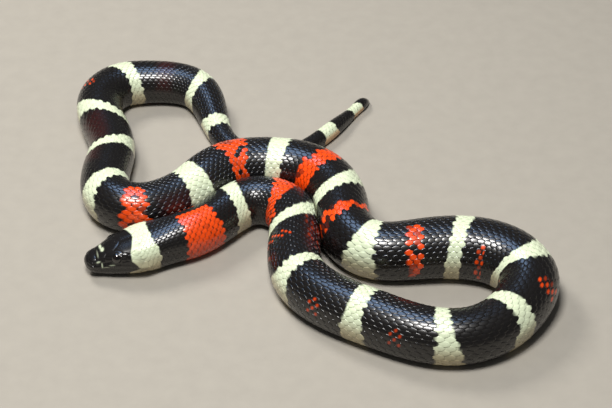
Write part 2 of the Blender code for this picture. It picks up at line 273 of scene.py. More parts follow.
# Red scales among black ones: the share that the first needs, how much more the last, how sharply
FIRST_RED = 0.12
RED_RANGE = 0.86
RED_CONTRAST = 6

# How much scales differ in shade and in where a white edge cuts them, and how dark the skin between is
SHADE_SPREAD = 0.16
EDGE_JITTER = 0.5
UNDER_SCALES_SHADE = 0.3
RANDOM_SEED = 7

# The size of a scale's patch on the map
PATCH = 0.003

# Shields of the head: station, turn in degrees, half length, half width
MIDDLE_SHIELDS = [(0.2, 0, 1.2, 2.2), (10.2, 0, 2.6, 1.7), (0.6, 180, 1.0, 1.6)]
PAIRED_SHIELDS = [
    (3.0, 22, 1.3, 1.7), (5.6, 24, 1.6, 2.0), (10.9, 37, 2.4, 1.3), (15.6, 22, 3.0, 2.6),
    (2.0, 62, 0.9, 1.3), (4.1, 58, 1.1, 1.4), (6.3, 60, 1.1, 1.0), (8.3, 55, 1.0, 1.3),
    (14.1, 50, 0.8, 1.0), (14.1, 64, 0.8, 1.0), (16.3, 62, 1.5, 1.1), (18.9, 54, 1.4, 1.1),
    (18.9, 68, 1.4, 1.1), (21.6, 62, 1.4, 1.1), (6.0, 156, 3.0, 1.6), (11.6, 158, 2.6, 1.4),
]
UPPER_LIP_STATIONS = (1.6, 3.9, 6.2, 8.6, 11.2, 14.2, 17.6, 21.2)
UPPER_LIP_TURN = 82
UPPER_LIP_SIZE = (1.2, 1.5)
LOWER_LIP_STATIONS = (1.8, 3.6, 5.4, 7.4, 9.6, 12.0, 14.6, 17.4, 20.4, 23.2)
LOWER_LIP_TURN = 104
LOWER_LIP_SIZE = (1.1, 1.2)
THROAT_STATIONS = (14.5, 16.8, 19.1, 21.4, 23.7)
THROAT_TURNS = (122, 138, 154, 170)
THROAT_SIZE = (1.2, 1.1)
SEAM_DEPTH = 0.10
SEAM_WIDTH = 0.13
SHIELD_CROWN = 0.07

# Surfaces: roughness, strength of the clear layer, and noise in cells per metre
SKIN_ROUGHNESS = 0.27
SKIN_COAT = 0.35
COAT_ROUGHNESS = 0.12
MOTTLE = 900
GRAIN = 4200
SPECKLE = 160

# Metres
GRAIN_DEPTH = 0.00003
FLOOR_SIZE = 6

FLOOR_DARK = (0.335, 0.313, 0.273, 1)
FLOOR_PALE = (0.385, 0.360, 0.314, 1)
WORLD_COLOUR = (0.60, 0.60, 0.60, 1)
WORLD_STRENGTH = 0.17

CAMERA_DISTANCE = 785.85
CAMERA_ELEVATION = math.radians(40)
CAMERA_FOCUS_PIXELS = 2000
IMAGE_WIDTH = 612
SENSOR = 36.0


def natural_spline(knots, values, at):
    """A natural cubic spline through values at knots, and its slope, read at the places asked for."""
    knots = np.asarray(knots, float)
    values = np.asarray(values, float)
    count = len(knots)
    step = np.diff(knots)
    rise = np.diff(values, axis=0) / (step[:, None] if values.ndim > 1 else step)
    matrix = np.eye(count)
    right = np.zeros_like(values)
    for i in range(1, count - 1):
        matrix[i, i - 1 : i + 2] = step[i - 1], 2 * (step[i - 1] + step[i]), step[i]
        right[i] = 6 * (rise[i] - rise[i - 1])
    bend = np.linalg.solve(matrix, right)
    i = np.clip(np.searchsorted(knots, at) - 1, 0, count - 2)
    h, a, b = step[i], at - knots[i], knots[i + 1] - at
    if values.ndim > 1:
        h, a, b = h[:, None], a[:, None], b[:, None]
    low, high = values[i] / h - bend[i] * h / 6, values[i + 1] / h - bend[i + 1] * h / 6
    place = (bend[i] * b**3 + bend[i + 1] * a**3) / (6 * h) + low * b + high * a
    slope = (bend[i + 1] * a**2 - bend[i] * b**2) / (2 * h) - low + high
    return place, slope


def smooth(value):
    """0 below 0, 1 above 1 and an even curve between."""
    value = np.clip(value, 0, 1)
    return value * value * (3 - 2 * value)


def bell(value, middle, spread):
    return np.exp(-(((value - middle) / spread) ** 2))


def wrapped(turn):
    return (turn + math.pi) % (2 * math.pi) - math.pi


class Spine:
    """Stations along the spine, each with its place, direction and girth."""

    def __init__(self):
        points = np.array(SPINE, float) + FRAME_SHIFT
        chords = np.linalg.norm(np.diff(points, axis=0), axis=1)
        knots = np.concatenate([[0], np.cumsum(chords)])
        fine = np.linspace(0, knots[-1], SPINE_SAMPLES)
        place, _ = natural_spline(knots, points, fine)
        run = np.concatenate([[0], np.cumsum(np.linalg.norm(np.diff(place, axis=0), axis=1))])
        self.length = run[-1]
        self.stations = np.arange(0, self.length + SPINE_STEP / 2, SPINE_STEP)
        self.stations[-1] = self.length
        at = np.interp(self.stations, run, fine)
        self.place, slope = natural_spline(knots, points, at)
        ahead = slope / np.linalg.norm(slope, axis=1)[:, None]
        self.left = np.stack([-ahead[:, 1], ahead[:, 0]], 1)
        heading = np.unwrap(np.arctan2(ahead[:, 1], ahead[:, 0]))
        self.curl = np.gradient(heading, self.stations)
        self.shape = self.body_shape()
        self.room = {side: self.side_room(side) for side in (1, -1)}

    def body_shape(self):
        """Half width, top, underside and level of greatest width at each station."""
        rows = list(HEAD_SHAPE)
        for station, girth in BODY_GIRTH + [(self.length, TAIL_POINT)]:
            rows.append(
                (station, girth, TOP_PER_GIRTH * girth, -SINK_PER_GIRTH * girth, WIDEST_PER_GIRTH * girth)
            )
        rows = np.array(rows, float)
        columns, _ = natural_spline(rows[:, 0], rows[:, 1:], self.stations)
        half_width, top, under, widest = columns.T
        return {"half_width": half_width, "top": top, "under": under, "widest": widest}

    def side_room(self, side):
        """How far the flesh reaches to one side before it meets a neighbouring length or its own bend."""
        width = self.shape["half_width"]
        room = np.full(len(self.stations), NO_LIMIT)
        tight = self.curl * side > STRAIGHT
        room[tight] = BEND_ROOM / np.abs(self.curl[tight])
        for i, station in enumerate(self.stations):
            away = self.place - self.place[i]
            distance = np.maximum(np.linalg.norm(away, axis=1), 1e-6)
            near = np.abs(self.stations - station) > NEIGHBOUR_SPAN
            near &= distance < width + width[i] + NEIGHBOUR_REACH
            faces = (away @ self.left[i]) * side / distance
            near &= faces > FACING
            if near.any():
                distance, faces = distance[near], faces[near]
                middle = (distance**2 + width[i] ** 2 - width[near] ** 2) / (2 * distance)
                room[i] = min(room[i], ((middle - FLANK_GAP) / faces).min())
        return room

    def at(self, station, values):
        if values.ndim == 1:
            return np.interp(station, self.stations, values)
        return np.stack([np.interp(station, self.stations, column) for column in values.T], -1)


SNAKE = Spine()


def head_part(station):
    """1 on the head, fading to 0 on the neck."""
    start, end = NECK_BLEND
    return np.clip((end - station) / (end - start), 0, 1)


def mouth_height(station):
    knots = np.array(MOUTH_LINE)
    height, _ = natural_spline(knots[:, 0], knots[:, 1], np.clip(station, 0, MOUTH_CORNER).ravel())
    return height.reshape(np.shape(station))


def swelling(station, turn, form):
    size, place, length, level, width = form
    return size * bell(station, place, length) * bell(np.abs(turn), level, width)


def skin_depth(station):
    """How far the skin lies inside the solids, which is less where the scales are thin."""
    share = smooth((station - SHIELDS_END) / (SCALES_FULL - SHIELDS_END))
    return SHIELD_DEPTH + (SCALE_DEPTH * girth_share(station) - SHIELD_DEPTH) * share


def girth_share(station):
    """1 on the body, and less on the slim tail."""
    girth = SNAKE.at(station, SNAKE.shape["half_width"])
    return np.clip(girth / FULL_GIRTH, LEAST_SHARE, 1)


def surface(station, turn):
    """Points of the skin at arrays of stations and turns."""
    shape = {name: SNAKE.at(station, values) for name, values in SNAKE.shape.items()}
    snout = np.clip(1 - station / SNOUT_ROUNDING, 0, 1)
    rounding = np.sqrt(1 - snout**2)
    for name in ("top", "under", "widest"):
        shape[name] = SNOUT_LEVEL + (shape[name] - SNOUT_LEVEL) * rounding
    shape["half_width"] = shape["half_width"] * rounding
    across, up = np.sin(turn), np.cos(turn)
    squareness = np.where(up > 0, BACK_SQUARENESS, FLANK_SQUARENESS)
    squareness = squareness + (CROWN_SQUARENESS - squareness) * head_part(station)
    across = np.sign(across) * np.abs(across) ** (2 / squareness)
    up = np.sign(up) * np.abs(up) ** (2 / squareness)
    reach = np.where(up > 0, shape["top"] - shape["widest"], shape["widest"] - shape["under"])
    depth = skin_depth(station)
    girth = np.maximum(shape["half_width"], 0.05)
    shrink = 1 - np.minimum(depth / girth, 0.35)
    side = shape["half_width"] * across * shrink
    height = shape["widest"] + up * reach * shrink
    side, height = head_relief(station, turn, side, height)
    height = np.maximum(height, depth * np.minimum(1, girth / 2))
    for limit in (1, -1):
        room = SNAKE.at(station, SNAKE.room[limit]) - depth
        side = np.minimum(side, room) if limit > 0 else np.maximum(side, -room)
    centre = SNAKE.at(station, SNAKE.place)
    left = SNAKE.at(station, SNAKE.left)
    left = left / np.linalg.norm(left, axis=-1)[..., None]
    flat = centre + left * side[..., None]
    return np.concatenate([flat, height[..., None]], -1)


def head_relief(station, turn, side, height):
    """Brows, cheeks, the hollow before each eye, full lips and the slimmer lower jaw."""
    brow = swelling(station, turn, BROW) * BROW_LIFT
    out = brow + swelling(station, turn, CHEEK) + swelling(station, turn, LOREAL_HOLLOW)
    above = height - mouth_height(station)
    lip = LIP_SWELL * bell(above, LIP_RISE, LIP_RISE)
    lip = lip * np.clip(station / LIP_FADE, 0, 1) * np.clip((LIP_END - station) / LIP_FADE, 0, 1)
    jaw = smooth(0.5 - above / 0.3) * np.clip((MOUTH_CORNER - station) / 2, 0, 1)
    out = out + lip - jaw * np.minimum(LIP_OVERHANG, np.abs(side) * 0.5)
    return side + np.sign(side) * out, height + brow


def outward(station, turn):
    """Unit normals of the skin at arrays of stations and turns."""
    along_step, turn_step = 0.12, 0.012
    before = np.maximum(station - along_step, 0.001)
    along = surface(station + along_step, turn) - surface(before, turn)
    round_it = surface(station, turn + turn_step) - surface(station, turn - turn_step)
    normal = np.cross(along, round_it)
    size = np.linalg.norm(normal, axis=-1)
    return normal / np.maximum(size, 1e-12)[..., None]


def side_place(station, level, side, depth=0.0):
    """The place a depth below the head's side, square to it, at a station and a height."""
    turn = side * np.linspace(0.05, math.pi / 2, SIDE_POINTS)
    points = surface(np.full(SIDE_POINTS, station), turn)
    nearest = np.argmin(np.abs(points[:, 2] - level))
    round_it = points[nearest + 1] - points[nearest - 1]
    across = SNAKE.at(station, SNAKE.left) * side
    down = -round_it[2]
    out = round_it[:2] @ across
    normal = np.array([*(across * down), out]) / np.hypot(down, out)
    return points[nearest] - normal * depth, normal


# Markings

def ring_share(station, turn, ring, turns):
    """How far inside a white ring a place lies, in millimetres."""
    middle, width, flank, slant, bow = ring
    share = smooth((np.abs(turn) - turns[0]) / (turns[1] - turns[0]))
    middle = middle + slant * np.sin(turn) + bow * (1 - np.cos(turn))
    return (width + flank * share) / 2 - np.abs(station - middle)


def white_share(station, turn, soft=0.3):
    turns, front, rear = np.array(HEAD_RING).T
    degrees = np.abs(np.degrees(turn))
    front, rear = np.interp(degrees, turns, front), np.interp(degrees, turns, rear)
    inside = np.minimum(station - front, rear - station)
    for ring in WHITE_RINGS:
        inside = np.maximum(inside, ring_share(station, turn, ring, FLANK_TURNS))
    return smooth(0.5 + inside / (2 * soft))


def mark_share(station, turn, start, end, low, high, slant, soft=0.5):
    degrees = np.degrees(turn)
    lengthwise = (end - start) / 2 - np.abs(station - slant * np.sin(turn) - (start + end) / 2)
    crosswise = np.minimum(degrees - low, high - degrees) * 0.16
    return smooth(0.5 + np.minimum(lengthwise, crosswise) / (2 * soft))


def red_share(station, turn):
    """The share of red scales at each place, how bright they are and how much of each is red."""
    share = np.zeros(np.shape(station))
    tone = np.ones(np.shape(station))
    spot = np.ones(np.shape(station))
    for start, end, low, high, slant, density, brightness, size in RED_MARKS:
        own = density * mark_share(station, turn, start, end, low, high, slant)
        tone = np.where(own > share, brightness, tone)
        spot = np.where(own > share, size, spot)
        share = np.maximum(share, own)
    return share, tone, spot


def low_share(turn, start, spread):
    """0 on the back and 1 low on the flank, from a turn in degrees on."""
    return smooth((np.abs(turn) - math.radians(start)) / math.radians(spread))


def mixed(first, second, share):
    return first + (second - first) * share[..., None]


def colours(station, turn, red, tone, tip):
    """The dark and the pale colour of each place. Red is how red it is, and tip how near a scale's end."""
    turn = wrapped(turn)
    # Low on the flank the black gets its painted floor reflection and the red its painted shade
    low = low_share(turn, *LOW_SHEEN_AND_SHADE_TURNS)
    paint = mixed(BLACK, BLACK_LOW_FLOOR_SHEEN, low)
    for start, end, lowest, highest, strength in DULL_MARKS:
        share = mark_share(station, turn, start, end, lowest, highest, 0, soft=3.0)
        paint = mixed(paint, DULL_RED, share * strength * (1 - tip))
    red_paint = mixed(RED, RED_LOW_SHADED, low)
    red_paint = mixed(red_paint, RED_TIP, tip)
    red_paint = red_paint * tone[..., None]
    paint = mixed(paint, red_paint, red)
    # The white darkens to beige low on the flank as painted shade
    pale = mixed(WHITE, WHITE_LOW_SHADED, low_share(turn, *WHITE_SHADE_TURNS))
    # Low on the tail the white turns orange: partly its own tone, partly painted bounce light
    tail = smooth((station - TAIL_LOW_START) / TAIL_LOW_SPREAD)
    pale = mixed(pale, TAIL_LOW_TONE_AND_BOUNCE, tail * low_share(turn, *TAIL_TONE_AND_BOUNCE_TURNS))
    return paint, pale


def head_colours(station, turn, paint):
    """Pale flecks across the snout, and a painted highlight along the edge of the upper lip."""
    degrees = np.degrees(wrapped(turn))
    for place, level, length, spread, strength in SNOUT_FLECKS_AND_LIP_HIGHLIGHT:
        share = strength * smooth(1.6 * bell(station, place, length) * bell(degrees, level, spread))
        paint = mixed(paint, WHITE * 0.9, share)
    return paint


# Meshes

def placed(name, data):
    piece = bpy.data.objects.new(name, data)
    bpy.context.scene.collection.objects.link(piece)
    return piece


def mesh_object(name, points, faces, material, paint, unwrap):
    """A smooth mesh from arrays: points in millimetres, lists of face arrays, colours and a map."""
    points, paint = points.reshape(-1, 3), paint.reshape(-1, 3)
    mesh = bpy.data.meshes.new(name)
    mesh.vertices.add(len(points))
    mesh.vertices.foreach_set("co", (points * MM).astype(np.float32).ravel())
    loops = np.concatenate([face.ravel() for face in faces]).astype(np.int32)
    sizes = np.concatenate([np.full(len(face), face.shape[1]) for face in faces]).astype(np.int32)
    starts = np.concatenate([[0], np.cumsum(sizes)[:-1]]).astype(np.int32)
    mesh.loops.add(len(loops))
    mesh.loops.foreach_set("vertex_index", loops)
    mesh.polygons.add(len(sizes))
    mesh.polygons.foreach_set("loop_start", starts)
    mesh.polygons.foreach_set("loop_total", sizes)
    mesh.polygons.foreach_set("use_smooth", np.ones(len(sizes), bool))
    mesh.update(calc_edges=True)
    layer = mesh.color_attributes.new(name="marking", type="FLOAT_COLOR", domain="POINT")
    rgba = np.concatenate([paint, np.ones((len(paint), 1))], 1).astype(np.float32)
    layer.data.foreach_set("color", rgba.ravel())
    uv = mesh.uv_layers.new(name="OFBake")
    uv.data.foreach_set("uv", seamless(unwrap[loops], faces).astype(np.float32).ravel())
    mesh.validate()
    mesh.materials.append(material)
    return placed(name, mesh)


def seamless(corners, faces):
    """The map's corners, with no face running from one side of the map right across to the other."""
    first = 0
    for face in faces:
        count = face.size
        across = corners[first : first + count, 1].reshape(face.shape)
        torn = across.max(axis=1) - across.min(axis=1) > 0.5
        across[torn[:, None] & (across < 0.5)] = 1.0
        corners[first : first + count, 1] = across.ravel()
        first += count
    return corners


def unwrapped(station, turn):
    return np.stack([station / SNAKE.length, 0.5 + wrapped(turn) / (2 * math.pi)], -1)


def shields():
    rows = list(MIDDLE_SHIELDS)
    half = list(PAIRED_SHIELDS)
    half += [(station, UPPER_LIP_TURN, *UPPER_LIP_SIZE) for station in UPPER_LIP_STATIONS]
    half += [(station, LOWER_LIP_TURN, *LOWER_LIP_SIZE) for station in LOWER_LIP_STATIONS]
    half += [(station, turn, *THROAT_SIZE) for station in THROAT_STATIONS for turn in THROAT_TURNS]
    for station, turn, length, width in half:
        rows += [(station, turn, length, width), (station, -turn, length, width)]
    return np.array(rows)


SHIELDS = shields()


def shield_contest(station, turn):
    """How much nearer a place is to its own shield than to the next one, in shield sizes."""
    girth = SNAKE.at(station, SNAKE.shape["half_width"])
    girth = girth * np.sqrt(1 - np.clip(1 - station / SNOUT_ROUNDING, 0, 1) ** 2)
    away = wrapped(turn[..., None] - np.radians(SHIELDS[:, 1])) * girth[..., None] / SHIELDS[:, 3]
    ahead = (station[..., None] - SHIELDS[:, 0]) / SHIELDS[:, 2]
    distance = np.sort(np.hypot(away, ahead), axis=-1)
    return distance[..., 1] - distance[..., 0], girth


def seam_distance(station, turn):
    """Distance to the nearest seam between shields, in millimetres."""
    contest, girth = shield_contest(station, turn)
    step = 0.05
    along, _ = shield_contest(station + step, turn)
    across, _ = shield_contest(station, turn + step / np.maximum(girth, 0.5))
    slope = np.hypot(along - contest, across - contest) / step
    return contest / np.maximum(slope, 0.2)


def head_detail(station, turn, points):
    """Height of the seams, the mouth line, the eye sockets and the nostrils above the plain skin."""
    share = smooth((head_limit(turn) + 1.5 - station) / 1.5)
    seam = seam_distance(station, turn)
    detail = (SHIELD_CROWN * (smooth(seam / 0.9) - 1) - SEAM_DEPTH * bell(seam, 0, SEAM_WIDTH)) * share
    mouth = points[..., 2] - mouth_height(station)
    open_share = smooth((MOUTH_CORNER - station) / 1.5)
    depth, width = MOUTH_GROOVE
    detail = detail - depth * bell(mouth, 0, width) * open_share
    for side in (1, -1):
        place, _ = side_place(EYE_STATION, EYE_HEIGHT, side)
        detail = with_socket(detail, np.linalg.norm(points - place, axis=-1))
        place, _ = side_place(NOSTRIL_STATION, NOSTRIL_HEIGHT, side)
        detail = with_nostril(detail, np.linalg.norm(points - place, axis=-1))
    return detail


def with_socket(detail, away):
    """An eye's socket and rim, by the distance from its middle, with no seams in it."""
    height, place, width = SOCKET_RIM
    inside = smooth((EYE_SHOWN - away) / width)
    rim = height * bell(away, EYE_SHOWN + place, width)
    return detail * smooth((away - EYE_SHOWN) / 0.5) + rim - SOCKET_DEPTH * inside


def with_nostril(detail, away):
    depth, radius, slope = NOSTRIL_HOLE
    height, place, width = NOSTRIL_RIM
    return detail - depth * smooth((radius - away) / slope) + height * bell(away, place, width)


def skin_rows(stations, columns):
    station, turn = np.meshgrid(stations, 2 * math.pi * np.arange(columns) / columns, indexing="ij")
    return station, wrapped(turn)


def grid_faces(rows, columns, start):
    """Quads between rows of points that close round the body."""
    i, j = np.meshgrid(np.arange(rows - 1), np.arange(columns), indexing="ij")
    k = (j + 1) % columns
    quads = np.stack([i * columns + j, (i + 1) * columns + j, (i + 1) * columns + k, i * columns + k], -1)
    return start + quads.reshape(-1, 4)


def joining_faces(fine_start, fine, coarse_start, coarse):
    """Triangles from a row of many points to a row of few."""
    ratio = fine // coarse
    faces = []
    for j in range(coarse):
        near, far = coarse_start + j, coarse_start + (j + 1) % coarse
        edge = [fine_start + (j * ratio + i) % fine for i in range(ratio + 1)]
        half = ratio // 2
        faces += [(edge[i], near, edge[i + 1]) for i in range(half)]
        faces.append((near, far, edge[half]))
        faces += [(edge[i], far, edge[i + 1]) for i in range(half, ratio)]
    return np.array(faces)


def cap_faces(start, columns, middle, front):
    """Triangles from a row of points to its middle point, at the front or at the rear end."""
    j = np.arange(columns)
    near, far = start + j, start + (j + 1) % columns
    tip = np.full_like(j, middle)
    return np.stack([near, far, tip] if front else [near, tip, far], -1)


def skin_mesh():
    """Stations, turns, points and faces of the whole skin, fine over the head and closed at both ends."""
    head = np.concatenate([SNOUT_ROWS, np.arange(HEAD_START, HEAD_SKIN_END, HEAD_STEP)])
    tail_end = SNAKE.length - TAIL_CUT
    body = np.append(np.arange(HEAD_SKIN_END + SKIN_JOIN, SNAKE.length - 1, BODY_STEP), tail_end)
    station, turn = skin_rows(head, HEAD_COLUMNS)
    points = surface(station, turn)
    points = points + outward(station, turn) * head_detail(station, turn, points)[..., None]
    body_station, body_turn = skin_rows(body, BODY_COLUMNS)
    body_points = surface(body_station, body_turn)
    stations = np.concatenate([station.ravel(), body_station.ravel()])
    turns = np.concatenate([turn.ravel(), body_turn.ravel()])
    points = np.concatenate([points.reshape(-1, 3), body_points.reshape(-1, 3)])
    head_count = station.size
    faces = [
        grid_faces(len(head), HEAD_COLUMNS, 0),
        grid_faces(len(body), BODY_COLUMNS, head_count),
        joining_faces(head_count - HEAD_COLUMNS, HEAD_COLUMNS, head_count, BODY_COLUMNS),
    ]
    count = len(points)
    front = points[:HEAD_COLUMNS].mean(axis=0)
    back = points[-BODY_COLUMNS:].mean(axis=0)
    points = np.concatenate([points, [front, back]])
    points[:, 2] = np.maximum(points[:, 2], FLOOR_CLEARANCE)
    stations = np.append(stations, [SNOUT_ROWS[0], tail_end])
    turns = np.append(turns, [0, 0])
    faces.append(cap_faces(0, HEAD_COLUMNS, count, front=True))
    faces.append(cap_faces(count - BODY_COLUMNS, BODY_COLUMNS, count + 1, front=False))
    return stations, turns, points, faces


def skin_paint(stations, turns):
    red, tone, spot = red_share(stations, turns)
    red = smooth(red * 2 - 0.8) * (spot > LEAST_SOLID_SPOT)
    paint, pale = colours(stations, turns, red, tone, np.full(len(stations), 0.25))
    paint = mixed(paint, pale, white_share(stations, turns))
    paint = head_colours(stations, turns, paint)
    under_scales = smooth((stations - SHIELDS_END) / 4)
    return paint * (1 - UNDER_SCALES_SHADE * under_scales[:, None])


def skin(material):
    """The whole animal's skin in one closed mesh."""
    stations, turns, points, faces = skin_mesh()
    paint = skin_paint(stations, turns)
    return mesh_object("skin", points, faces, material, paint, unwrapped(stations, turns))


# Scales

def pitch_at(station):
    return np.interp(station, *np.array(SCALE_PITCH).T)


def chains(start, end):
    """Stations a scale's pitch apart, from the head end to the tail end."""
    fine = np.arange(start, end, 0.05)
    phase = np.concatenate([[0], np.cumsum(0.05 / pitch_at(fine[:-1]))])
    return np.interp(np.arange(0, phase[-1], 0.5), phase, fine)


def slant_at(station):
    """How far the transverse rows lean, read from the rings on either side."""
    rings = np.array(WHITE_RINGS)
    return np.interp(station, np.append([22.0], rings[:, 0]), np.append([0.0], rings[:, 3]))


def row_turn(row, station):
    spread = np.interp(station, *np.array(ROW_SPREAD).T)
    return spread * (ROW_TURN * row + ROW_WIDENING * row**3)


def scale_sites():
    """Station, turn, pitch and row width of every scale of the back and flanks, in order."""
    steps = chains(FIRST_SCALES, LAST_SCALES)
    sites = []
    for row in range(-ROWS_EACH_SIDE, ROWS_EACH_SIDE + 1):
        own = steps[row % 2 :: 2]
        turn = row_turn(float(row), own)
        width = row_turn(row + 0.5, own) - row_turn(row - 0.5, own)
        keep = np.abs(turn) < BELLY_TURN
        leaning = own + slant_at(own) * np.sin(turn)
        sites.append(np.stack([leaning, turn, pitch_at(own), width], -1)[keep])
    sites = np.concatenate(sites)
    sites = sites[head_limit(sites[:, 1]) < sites[:, 0]]
    return sites[np.argsort(sites[:, 0], kind="stable")]


def head_limit(turn):
    """Where the shields end and the scales begin, further back at the temples and on the crown."""
    degrees = np.abs(np.degrees(turn))
    return FIRST_SCALES + 1.2 * bell(degrees, 22, 14) + 1.8 * smooth((degrees - 50) / 25)


def scale_width_at(along):
    """Half width of a scale along its length, as a share of the greatest."""
    front = 0.6 + 0.4 * np.sin(math.pi / 2 * np.clip(along / WIDEST_SHARE, 0, 1))
    rear = np.clip((along - WIDEST_SHARE) / (1 - WIDEST_SHARE), 0, 1)
    rear = np.maximum((1 - rear**2.2) ** 0.62, TIP_WIDTH)
    return np.where(along < WIDEST_SHARE, front, rear)


def plate_template(along, across):
    """Grid places of a plate, its faces, and the loop of its edge, for a closed thick plate."""
    rows, columns = len(along), len(across)
    grid_along, grid_across = [grid.ravel() for grid in np.meshgrid(along, across, indexing="ij")]
    i, j = np.meshgrid(np.arange(rows - 1), np.arange(columns - 1), indexing="ij")
    i, j = i.ravel(), j.ravel()
    near, far = i * columns + j, (i + 1) * columns + j
    top = np.stack([near, far, far + 1, near + 1], -1)
    down = [i * columns for i in range(rows)]
    along_tip = [(rows - 1) * columns + j for j in range(1, columns)]
    back_up = [i * columns + columns - 1 for i in range(rows - 2, -1, -1)]
    along_root = [j for j in range(columns - 2, 0, -1)]
    edge = np.array(down + along_tip + back_up + along_root)
    count = rows * columns
    ring = count + np.arange(len(edge))
    after = np.roll(edge, -1)
    ring_after = np.roll(ring, -1)
    walls = np.stack([after, edge, ring, ring_after], -1)
    floor = np.stack([ring_after, ring, np.full(len(edge), count + len(edge))], -1)
    return grid_along, grid_across, edge, top, walls, floor


def plates(sites, along, across, place_of, height_of):
    """Closed plates at many sites: their points, faces and the place of every point in its plate."""
    grid_along, grid_across, edge, top, walls, floor = plate_template(along, across)
    all_along = np.concatenate([grid_along, grid_along[edge], [UNDERSIDE_MIDDLE]])
    all_across = np.concatenate([grid_across, grid_across[edge] * UNDERSIDE_SHARE, [0.0]])
    station, turn = place_of(sites, all_along, all_across)
    height = height_of(sites, all_along, all_across)
    low = low_share(wrapped(sites[:, 1]), *FLAT_TURNS)
    thin = (plate_scale(sites[:, 0]) * (1 - (1 - FLANK_RELIEF) * low))[:, None]
    count = len(grid_along)
    height[:, count:-1] -= SCALE_THICKNESS
    height[:, -1] = SCALE_ROOT
    points = surface(station, turn) + outward(station, turn) * (height * thin)[..., None]
    points[..., 2] = np.maximum(points[..., 2], FLOOR_CLEARANCE)
    per_plate = count + len(edge) + 1
    offset = np.arange(len(sites))[:, None, None] * per_plate
    faces = [(face[None] + offset).reshape(-1, face.shape[1]) for face in (top, walls, floor)]
    triangles = 2 * len(top) + 2 * len(walls) + len(floor)
    return points, faces, station, turn, all_along, all_across, triangles


def plate_scale(station):
    """Plates are thinner on the temples and on the slim tail."""
    return smooth((station - 14) / 9) * girth_share(station)


def scale_place(sites, along, across):
    """Station and turn of each point of each scale."""
    station, turn, pitch, width = [column[:, None] for column in sites.T]
    length = pitch * SCALE_LENGTH
    own_station = station + (along - PLATE_SEAT) * length
    own_turn = turn + across * scale_width_at(along) * width * SCALE_WIDTH
    return own_station, np.broadcast_to(own_turn, own_station.shape)


def scale_height(sites, along, across):
    lift = SCALE_ROOT + (SCALE_TIP - SCALE_ROOT) * along
    crown = SCALE_CROWN * (1 - across**2) * np.sin(math.pi * np.clip(along, 0.08, 0.94)) ** 0.7
    rounding = 0.07 * smooth((along - 0.86) / 0.14)
    return np.repeat((lift + crown - rounding)[None], len(sites), axis=0)


def red_spot(size, along, across):
    """Where on a scale its red lies: all over it, or in a spot of a given size."""
    spot = smooth((size - np.abs(across)) / 0.25) * smooth((0.55 + 0.4 * size - along) / 0.12)
    spot = spot * smooth((along - 0.6 + 0.4 * size) / 0.1)
    return np.where(size > WHOLE_SCALE, 1, spot)


def scale_edges(along, across):
    """How bright a scale's dark paint and its pale paint are, less at the sides, root and tip."""
    edge = 1 - 0.25 * smooth((np.abs(across) - 0.72) / 0.28) - 0.15 * smooth((0.4 - along) / 0.3)
    pale_edge = 1 - 0.10 * smooth((np.abs(across) - 0.75) / 0.25) - 0.08 * smooth((along - 0.9) / 0.1)
    return edge[None, :, None], pale_edge[None, :, None]


def scale_paint(sites, station, turn, along, across, random):
    """Colours of the scales: each is mostly one colour, and red ones end in black."""
    count = len(sites)
    own_station = np.repeat(sites[:, :1], station.shape[1], axis=1)
    own_turn = np.repeat(sites[:, 1:2], station.shape[1], axis=1)
    mix_station = own_station * OWN_SHARE + station * (1 - OWN_SHARE)
    mix_turn = own_turn * OWN_SHARE + turn * (1 - OWN_SHARE)
    chance = random.random((count, 1))
    shade = 1 + SHADE_SPREAD * (random.random((count, 1)) - 0.5)
    jitter = (random.random((count, 1)) - 0.5) * EDGE_JITTER
    red_station = own_station * RED_OWN_SHARE + station * (1 - RED_OWN_SHARE)
    red_turn = own_turn * RED_OWN_SHARE + turn * (1 - RED_OWN_SHARE)
    share, tone, size = red_share(red_station, wrapped(red_turn))
    red = smooth(0.5 + (share - FIRST_RED - RED_RANGE * chance) * RED_CONTRAST)
    red = red * red_spot(size, along, across)
    rim = smooth((np.abs(across) - 0.7) / 0.3) * 0.55 * (share < 0.93)
    dark_tip = smooth((along - 0.80) / 0.16) * (0.55 + 0.45 * (chance > 0.45))
    paint, pale = colours(mix_station, mix_turn, red, tone, np.maximum(dark_tip, rim))
    edge, pale_edge = scale_edges(along, across)
    white = white_share(mix_station + jitter, wrapped(mix_turn), soft=WHITE_SOFTNESS)
    paint = paint * shade[..., None] * edge
    pale = pale * (0.5 + 0.5 * shade[..., None]) * pale_edge
    return mixed(paint, pale, white)


def scales(material, random):
    """The scales of the back and flanks, in several pieces of many plates."""
    along = np.array([0, 0.2, 0.38, 0.55, 0.7, 0.83, 0.93, 1.0])
    across = np.array([-1, -0.66, -0.25, 0.25, 0.66, 1])
    sites = scale_sites()
    each = plates(sites[:1], along, across, scale_place, scale_height)[-1]
    groups = math.ceil(len(sites) * each / PIECE_TRIANGLES)
    pieces = []
    for number, part in enumerate(np.array_split(sites, groups)):
        made = plates(part, along, across, scale_place, scale_height)
        points, faces, station, turn, own_along, own_across, _ = made
        paint = scale_paint(part, station, turn, own_along, own_across, random)
        unwrap = patch_map(part, own_along, own_across)
        name = f"scales_{number + 1}"
        pieces.append(mesh_object(name, points, faces, material, paint, unwrap))
    return pieces


def patch_map(sites, along, across):
    """Each plate's small patch, at its root's place on the skin's own map."""
    root = unwrapped(sites[:, 0], sites[:, 1])
    length = np.minimum(PATCH, 0.9 * sites[:, 2:3] / SNAKE.length)
    u = np.clip(root[:, :1], PATCH, 1 - PATCH) + length * (along - 0.5)
    v = np.clip(root[:, 1:2], PATCH, 1 - PATCH) + PATCH * 0.5 * across
    return np.stack([u, v], -1).reshape(-1, 2)


